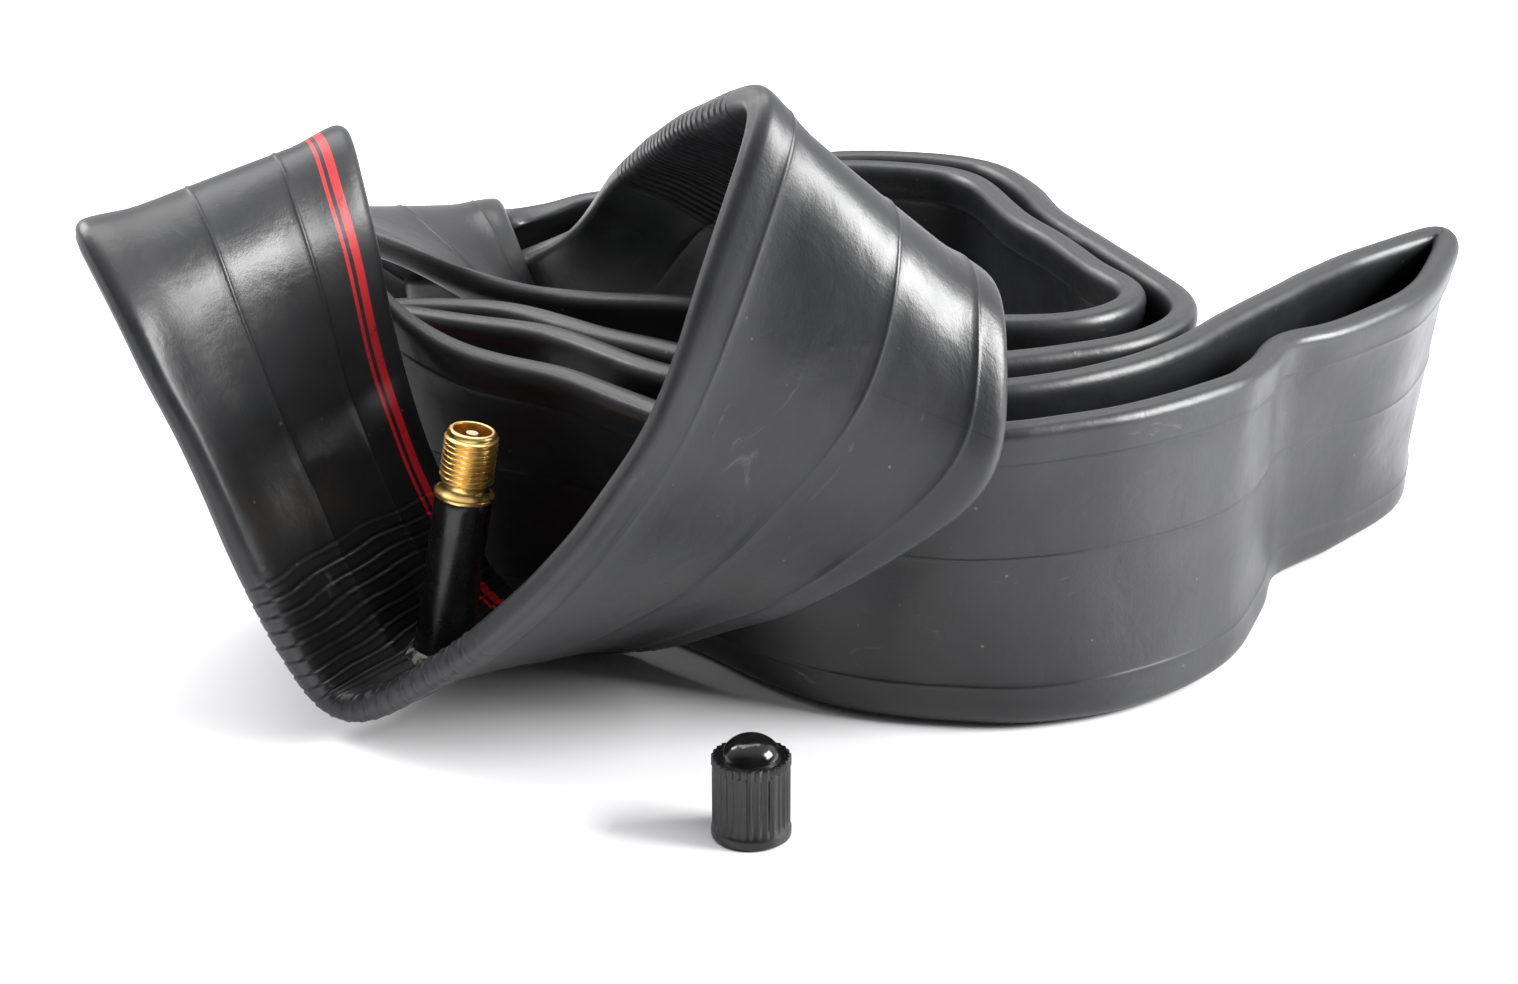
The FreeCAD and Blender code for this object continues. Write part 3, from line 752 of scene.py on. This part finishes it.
def cap_plastic():
    m = Maker("cap_plastic")
    at = m.place()
    split = m.tree.nodes.new("ShaderNodeSeparateXYZ")
    m.put(at, split.inputs[0])
    dome = m.ramp(split.outputs[2], 0.0112, 0.0114)
    black = (0.003, 0.003, 0.0034, 1)
    greyer = (0.006, 0.006, 0.0065, 1)
    colour = m.mix(m.ramp(m.noise(at, 500.0, 4.0), 0.4, 0.75), black, greyer)
    dust = m.ramp(m.noise(at, 1500.0, 3.0, 0.6, 1.0), 0.70, 0.78, 0.0, 0.04)
    colour = m.mix(dust, colour, (0.2, 0.2, 0.2, 1))
    m.put(colour, m.shader.inputs["Base Color"])
    side = m.ramp(m.noise(at, 900.0, 3.0), 0.3, 0.7, 0.30, 0.42)
    rough = m.math("SUBTRACT", side, m.math("MULTIPLY", dome, 0.22))
    m.put(rough, m.shader.inputs["Roughness"])
    m.put(m.bump(m.noise(at, 2400.0, 2.0), 0.06, 0.0002), m.shader.inputs["Normal"])
    return m.material


tube.data.materials.append(butyl())
stem.data.materials.append(smooth_rubber())
bright_brass = brass("valve_brass", (0.95, 0.66, 0.25, 1), (0.84, 0.54, 0.17, 1), 0.27, 0.40)
insert.data.materials.append(bright_brass)
cap.data.materials.append(cap_plastic())
residue.data.materials.append(residue_material())
core_brass = brass("core_brass", (0.72, 0.42, 0.14, 1), (0.58, 0.32, 0.09, 1), 0.25, 0.4)
pin_metal = brass("pin_metal", (0.95, 0.86, 0.62, 1), (0.9, 0.78, 0.5, 1), 0.15, 0.25)
carried = {
    "core_plug": core_brass,
    "core_barrel": core_brass,
    "core_barrel_seal": dull_rubber("core_seal"),
    "core_pin": pin_metal,
    "core_cup": core_brass,
    "core_cup_seal": dull_rubber("cup_seal"),
    "core_spring": steel(),
    "cap_seal": dull_rubber("cap_seal"),
}
for obj in list(bpy.data.objects):
    key = obj.name.split(".")[0]
    if key in carried and obj.type == "MESH":
        for slot_index in range(len(obj.material_slots)):
            obj.material_slots[slot_index].link = "OBJECT"
            obj.material_slots[slot_index].material = carried[key]


# ------------------------------------------------------------ stage, light and camera
def floor():
    mesh = bpy.data.meshes.new("floor")
    half = 3.0
    below = -0.0002
    corners = [(-half, -half, below), (half, -half, below), (half, half, below), (-half, half, below)]
    mesh.from_pydata(corners, [], [(0, 1, 2, 3)])
    obj = bpy.data.objects.new("floor", mesh)
    bpy.context.scene.collection.objects.link(obj)
    m = Maker("floor_white")
    m.shader.inputs["Base Color"].default_value = (0.84, 0.84, 0.85, 1)
    m.shader.inputs["Roughness"].default_value = 0.45
    mesh.materials.append(m.material)
    return obj


floor()
scene = bpy.context.scene
scene.view_settings.view_transform = "Standard"
scene.view_settings.look = "None"
world = bpy.data.worlds.new("studio")
world.use_nodes = True
world_tree = world.node_tree
sky = world_tree.nodes.new("ShaderNodeTexCoord")
parts = world_tree.nodes.new("ShaderNodeSeparateXYZ")
world_tree.links.new(sky.outputs["Generated"], parts.inputs[0])
tilt = world_tree.nodes.new("ShaderNodeMath")
tilt.operation = "MULTIPLY_ADD"
tilt.inputs[1].default_value = 0.75
world_tree.links.new(parts.outputs[2], tilt.inputs[0])
world_tree.links.new(parts.outputs[1], tilt.inputs[2])
glow = world_tree.nodes.new("ShaderNodeMapRange")
glow.interpolation_type = "SMOOTHSTEP"
glow.inputs["From Min"].default_value = -0.35
glow.inputs["From Max"].default_value = 0.65
glow.inputs["To Min"].default_value = 0.10
glow.inputs["To Max"].default_value = 1.06
world_tree.links.new(tilt.outputs[0], glow.inputs["Value"])
world_tree.nodes["Background"].inputs[0].default_value = (1.0, 1.0, 1.02, 1)
world_tree.links.new(glow.outputs["Result"], world_tree.nodes["Background"].inputs[1])
scene.world = world


def softbox(name, at, target, size, power, tint=(1, 1, 1)):
    light = bpy.data.lights.new(name, "AREA")
    light.shape = "RECTANGLE"
    light.size, light.size_y = size
    light.energy = power
    light.color = tint
    obj = bpy.data.objects.new(name, light)
    obj.location = at
    obj.rotation_euler = (Vector(target) - Vector(at)).to_track_quat("-Z", "Y").to_euler()
    scene.collection.objects.link(obj)


softbox("overhead", (-0.1, 0.30, 0.80), (0, 0, 0.02), (0.8, 0.5), 6.0)
softbox("back_left", (-0.65, 0.45, 0.60), (-0.05, 0.0, 0.05), (0.5, 0.4), 7.0)
softbox("right_side", (0.80, -0.14, 0.44), (0.0, 0.0, 0.06), (0.45, 0.42), 19.0)

camera_data = bpy.data.cameras.new("camera")
camera_data.sensor_width = 36.0
camera_data.lens = 80.63
camera_data.clip_start = 0.01
camera = bpy.data.objects.new("camera", camera_data)
camera.location = (-0.0070, -0.4705, 0.2065)
camera.rotation_euler = (math.radians(68.0), 0.0, 0.0)
scene.collection.objects.link(camera)
scene.camera = camera
